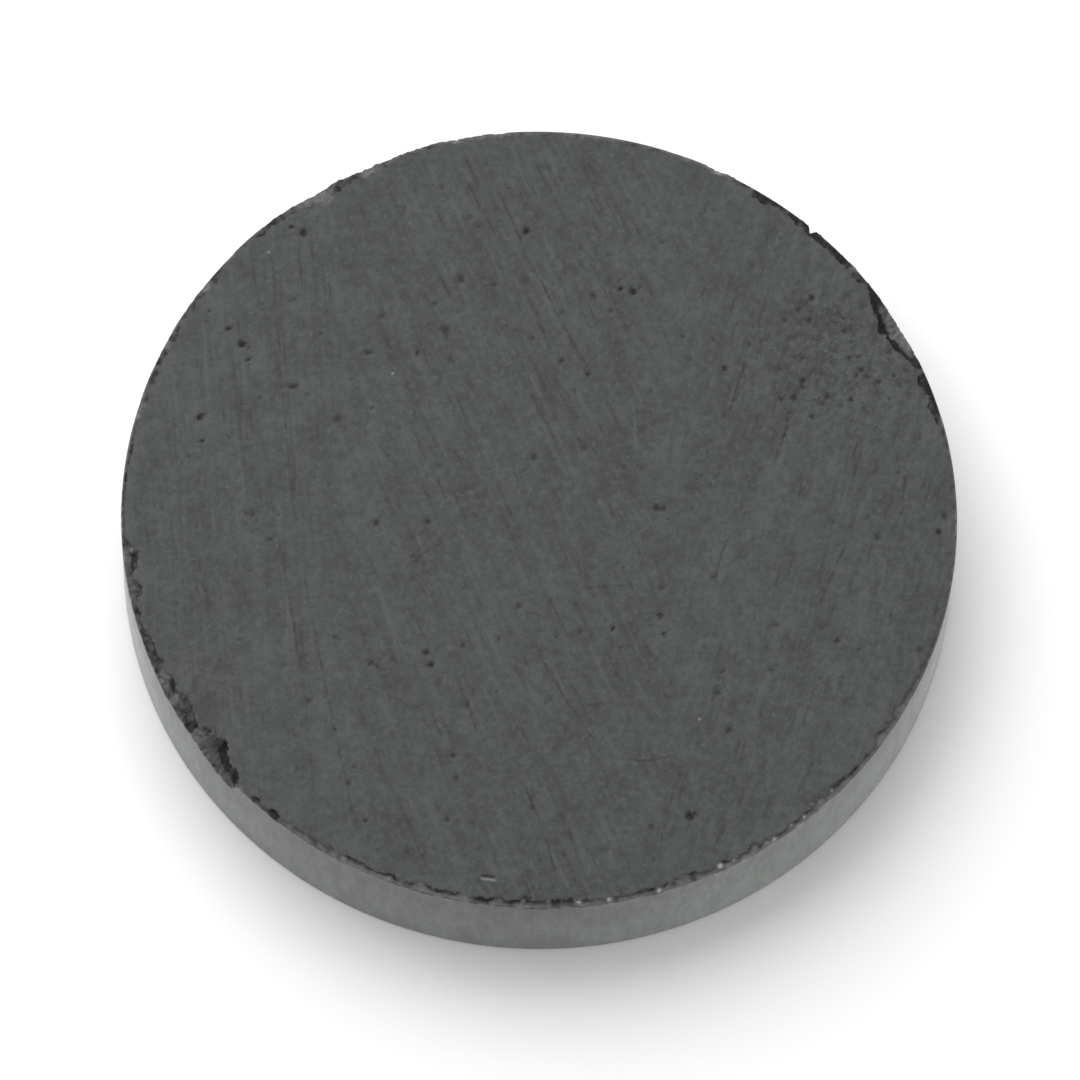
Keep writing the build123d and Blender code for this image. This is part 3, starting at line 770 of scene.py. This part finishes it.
# %% Single scratches
# Each scratch: start, a place on its way and end, then its half-width and how dark it is, where less
# than zero means light
scratches = [
    ((-6.73, 6.80), (-6.40, 3.70), (-5.84, -0.30), 0.06, 0.42),
    ((-6.29, -0.55), (-5.80, -2.80), (-5.50, -4.30), 0.06, 0.42),
    ((-5.61, -1.41), (-4.86, -4.83), (-4.00, -8.20), 0.06, 0.42),
    ((-7.60, 4.20), (-7.30, 2.20), (-7.00, 0.25), 0.08, 0.35),
    ((-1.75, 9.40), (-0.25, 6.10), (1.04, 3.66), 0.05, 0.38),
    ((-0.25, 6.15), (0.55, 4.65), (1.15, 3.60), 0.05, 0.70),
    ((-2.84, 8.65), (-2.67, 8.35), (-2.50, 8.05), 0.09, 0.50),
    ((-0.17, -6.78), (0.44, -8.20), (0.74, -9.18), 0.05, 0.55),
    ((-0.05, -3.25), (0.93, -4.90), (1.68, -5.95), 0.05, 0.45),
    ((4.90, 4.45), (4.68, 3.70), (4.45, 2.76), 0.055, 0.85),
    ((8.71, 1.40), (8.69, 0.80), (8.65, 0.30), 0.06, 0.60),
    ((4.60, -0.25), (4.40, -0.85), (4.19, -1.68), 0.055, 0.50),
    ((7.38, -0.48), (7.15, -0.93), (6.96, -1.56), 0.055, 0.50),
    ((7.00, -3.25), (6.87, -3.42), (6.74, -3.59), 0.06, 0.50),
    ((6.76, -4.08), (6.55, -4.75), (6.44, -5.28), 0.055, 0.50),
    ((3.63, -6.18), (3.40, -7.08), (3.18, -8.35), 0.05, 0.45),
    ((4.38, -4.15), (4.32, -4.41), (4.26, -4.68), 0.08, 0.50),
    ((6.22, 3.76), (6.08, 3.45), (5.95, 3.12), 0.1, 1.10),
    ((6.40, 5.92), (6.20, 5.74), (6.00, 5.53), 0.1, 1.10),
    ((7.75, 2.70), (7.62, 1.90), (7.45, 1.10), 0.05, 0.45),
    ((-1.90, 8.30), (-1.35, 7.20), (-0.90, 6.40), 0.05, 0.25),
    ((-0.55, 5.60), (-0.28, 5.05), (0.00, 4.50), 0.05, 0.35),
    ((-0.40, 3.20), (0.12, 2.25), (0.68, 1.20), 0.05, 0.35),
    ((-1.10, 0.90), (-0.84, 0.30), (-0.58, -0.35), 0.05, 0.38),
    ((-1.75, -4.40), (-1.52, -4.95), (-1.25, -5.70), 0.06, 0.40),
    ((-1.60, -3.60), (-1.48, -3.95), (-1.35, -4.30), 0.09, 0.35),
    ((-3.45, -4.70), (-3.35, -4.95), (-3.25, -5.20), 0.08, 0.35),
    ((5.95, 3.00), (5.78, 2.30), (5.60, 1.60), 0.06, 0.45),
    ((2.75, 0.10), (2.60, -0.70), (2.40, -1.50), 0.05, 0.40),
    ((2.05, 3.10), (2.18, 2.60), (2.22, 1.70), 0.06, -0.45),
    ((-0.05, 9.33), (0.03, 9.06), (0.10, 8.80), 0.1, -0.40),
    ((0.05, 2.00), (0.32, 1.50), (0.62, 1.00), 0.13, -0.40),
    ((0.05, -3.20), (0.50, -4.00), (0.90, -4.75), 0.05, -0.35),
    ((-3.70, -2.20), (-3.45, -2.95), (-3.20, -3.70), 0.05, -0.35),
    ((5.78, 1.75), (5.65, 1.45), (5.45, 1.05), 0.11, -0.50),
    ((8.35, -0.30), (8.28, -1.02), (8.17, -1.85), 0.08, -0.40),
]


def groove(across, run, start, midway, end, half_width):
    """Mask of a line along a parabola through three places, each given as (run, across).

    The parabola is across = a run^2 + b run + c, and the line fades out at both ends.
    """
    runs, acrosses = zip(start, midway, end)
    a, b, c = np.polyfit(runs, acrosses, 2).tolist()
    line = run.math("MULTIPLY_ADD", run.math("MULTIPLY_ADD", run, a, b), run, c)
    middle, half_length = (start[0] + end[0]) / 2, abs(start[0] - end[0]) / 2
    ends = abs(run - middle).ramp(half_length, 0.75 * half_length)
    return abs(across - line).ramp(half_width, 0) * ends


shaky_x = x + 0.12 * clouds(askew, 3, 2, 0.7)
scratch_marks = sum(
    strength * groove(shaky_x, y, *(spot[::-1] for spot in path), half_width)
    for *path, half_width, strength in scratches)
count_nodes("the scratches")

# %% [markdown]
# ## A dent, scuffs and bright grains
# A knock near the front has left a short dent, a few scuffs run across the grinding marks, and
# single crystals shine. As shape they would need a far finer mesh, so parabolas and round spots draw
# them as tones: painted shade in the dent, a painted highlight on its lip and painted highlights on
# the crystals.

# %% A dent and the scuffs that run across
scuff_half_width = 0.06
spot_radius = 0.06
# Places of painted highlights on single crystals of the face
glint_spots = [(-6.79, 6.49), (-3.66, 3.46), (4.0, -5.09)]

# The dent's groove is painted shade: the finish lays its dark shader along it
dent = groove(y, x, (-1.04, -9.25), (-0.84, -9.255), (-0.66, -9.275), 0.065)
dent_lip_highlight = groove(y, x, (-1.05, -9.32), (-0.86, -9.335), (-0.66, -9.36), 0.06)
scuffs = [
    ((1.90, -6.09), (2.50, -6.19), (3.55, -5.97)),
    ((1.00, -1.95), (1.55, -1.80), (2.30, -1.80)),
    ((1.10, -4.90), (1.60, -4.80), (2.20, -4.75)),
    ((-2.95, -1.30), (-2.35, -0.90), (-1.80, -0.50)),
]
scuff = sum(groove(y, x, *path, scuff_half_width) for path in scuffs)


def away_from(spot_x, spot_y):
    """Distance from one spot of the upper face, in millimetres."""
    ends = {0: place, 1: (spot_x, spot_y, thickness)}
    return wire.node("ShaderNodeVectorMath", {"operation": "DISTANCE"}, ends, out="Value")


# Painted highlights: the glints of single crystals and the lit lip of the dent
glint_dots = sum(away_from(*spot).ramp(spot_radius, 0) for spot in glint_spots)
bright = 0.3 * dent_lip_highlight + 0.4 * glint_dots
print("a dent,", len(scuffs), "scuffs and", len(glint_spots), "bright grains drawn")

# %% [markdown]
# ## Colours
# Fired ceramic is never one flat colour: grains differ and the kiln stains the skin. A picture would
# have to be painted for every side. So each look mixes a dark and a light tone, and noise says how
# much of each a place gets. Some of these tones also paint shade, highlights and reflections.

# %% Noise that the colours share
mottle = clouds(askew, 0.8, 4, 0.85)
grain = clouds(askew, 4.5, 2, 0.7)
specks = clouds(askew, 8, 1, 0.5)
flecks = specks.ramp(0.1, 0.24) - 0.6 * specks.ramp(-0.12, -0.25)
# Painted shade in the pores, where the dark shader of the finish takes over
pits = (pore_shape + 0.4 * grain).ramp(0.13, 0.62)
beads = clouds(askew, 2.5, 3, 0.7).ramp(-0.1, 0.12)  # breaks scratches up into dashes
count_nodes("the shared noise")

# %% Colour of the ground face
shade_low, shade_high = (0.0264, 0.0289, 0.0272, 1), (0.0792, 0.0862, 0.0820, 1)
# The colour of painted highlights
highlight_white = (0.50, 0.52, 0.51, 1)
dusk_brown = (0.041, 0.039, 0.034, 1)
dusk_middle = (-7.9, -4.8)  # beside the largest chips

marks = (1.4 * scratch_marks + 0.6 * scuff) * (0.25 + 0.75 * beads)
dusk = away_from(*dusk_middle).ramp(1.5, 0.2) * (grain + mottle).ramp(0.15, -0.25)
crumbly = away_from(*crumbly_middle).ramp(2.8, 0.6)
# Streaks in colour: the grinding's own tone plus painted light and shade of the relief that bump
# leaves out
streak_light_and_shade = 0.6 * streaks + 0.7 * bands + 0.45 * (streak_glints - dashes) * (0.45 + 0.55 * beads)
texture = 1.5 * mottle + (1.1 + crumbly) * grain + (0.38 + 0.4 * crumbly) * flecks + streak_light_and_shade
zones = 0.06 * near_left + 0.04 * near_right  # the face is a little lighter at both sides
ground = (0.58 + zones + texture - marks).blend(shade_low, shade_high)
ground = (0.8 * dusk).blend(ground, dusk_brown)
ground = bright.blend(ground, highlight_white)
count_nodes("the ground face")

# %% Colour of the wall and of the breaks
kiln_low, kiln_high = (0.025, 0.028, 0.0257, 1), (0.196, 0.221, 0.199, 1)
# Painted reflection: the paler skin colours at the right and left
sheen_low, sheen_high = (0.118, 0.130, 0.1185, 1), (0.425, 0.469, 0.429, 1)
break_low, break_high = (0.023, 0.0225, 0.0200, 1), (0.215, 0.226, 0.219, 1)

upright = wire.node("ShaderNodeMapping", sockets={"Vector": place, "Scale": (1, 1, 0.3)})
# Painted shade: the skin darkens towards the upper rim
rim_shade = z.ramp(0, thickness, 0, 0.5)  # the skin is a little darker towards the upper rim
# Painted reflection of the white sheet where the skin is seen at a low angle, at the right and left
side_sheen = x.ramp(0, 5, 0, 0.68) + x.ramp(8.2, 9.8, 0, 0.32)  # and lighter at the right and the left
side_sheen = side_sheen + x.ramp(-6, -9, 0, 0.24) + x.ramp(-8.4, -9.8, 0, 0.76)
skin_share = 0.58 + 1.7 * clouds(upright, 3, 4, 0.8) + 0.3 * mottle - rim_shade
kiln = side_sheen.blend(skin_share.blend(kiln_low, kiln_high), skin_share.blend(sheen_low, sheen_high))
# The colour of the breaks carries the painted shade and light of their tones
shell = (0.35 + 0.35 * chip_light + 0.7 * grain + 0.5 * mottle).blend(break_low, break_high)
# Painted highlights where a crystal's tone is above 1
shell = chip_light.ramp(1.05, 1.5).blend(shell, highlight_white)
skin = on_wall.blend(ground, kiln)
colour = broken.blend(skin, shell)
count_nodes("all colours")

# %% [markdown]
# ## Gloss and relief
# The ground face and the breaks are dull, and the skin of the kiln has a soft sheen. A glossier body
# alone mirrors the sheet too weakly, so a thin coat adds to it. In deep pores, in the dent and along
# the raw inner edges of chips a dull dark shader takes over, which paints the shade that lies there.
# The only relief left to bump is grain finer than the mesh.

# %% Gloss and relief
face_rough, wall_rough, break_rough = 0.6, 0.38, 0.6
grain_height = 0.02  # millimetres

left_dullness = x.ramp(2, -9)  # the skin of the kiln is duller on the left
roughness = face_rough + (wall_rough - face_rough) * on_wall
roughness = roughness + broken * (break_rough - roughness)
coat = on_wall * (1 - broken) * (1 - 0.6 * left_dullness) * z.ramp(0.5, thickness, 1, 0.6)
relief = grain_height * (1 + crumbly - 0.8 * on_wall) * grain  # the skin of the kiln is smoother
bump = wire.node(
    "ShaderNodeBump", sockets={"Strength": 1.0, "Distance": MM, "Height": relief}, out="Normal")
count_nodes("gloss and relief")

# %% Put the finish together
bend = 1.5  # index of refraction of the body and of its coat
coat_rough = 0.3
# Painted shade: a dull dark shader for the pores, the dent and the inner edges of the breaks
painted_shade_black, painted_shade_rough, painted_shade_shine = (0.013, 0.013, 0.0125, 1), 0.9, 0.15

principled = wire.node("ShaderNodeBsdfPrincipled", sockets={
    "Base Color": colour, "Roughness": roughness, "IOR": bend, "Coat Weight": coat,
    "Coat Roughness": coat_rough, "Coat IOR": bend, "Normal": bump})
painted_shade = wire.node("ShaderNodeBsdfPrincipled", sockets={
    "Base Color": painted_shade_black, "Roughness": painted_shade_rough, "Specular IOR Level": painted_shade_shine})
# Where the painted shade lies: the inner edges of dark breaks, the pores and the dent
edge_shade = broken * (chip_light + 1.2 * grain).ramp(-0.5, -1.3, 0, 0.7)
painted_shade_share = wire.math("MAXIMUM", wire.math("MAXIMUM", 0.8 * pits, edge_shade), 0.7 * dent)
surface = wire.node("ShaderNodeMixShader", sockets={0: painted_shade_share, 1: principled, 2: painted_shade})
wire.tree.links.new(surface.socket, output.inputs["Surface"])
mesh.materials.append(ferrite)
count_nodes("the whole finish")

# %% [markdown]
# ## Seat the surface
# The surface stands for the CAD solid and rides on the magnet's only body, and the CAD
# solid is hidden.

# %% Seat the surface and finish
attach(magnet, "root")
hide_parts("magnet")
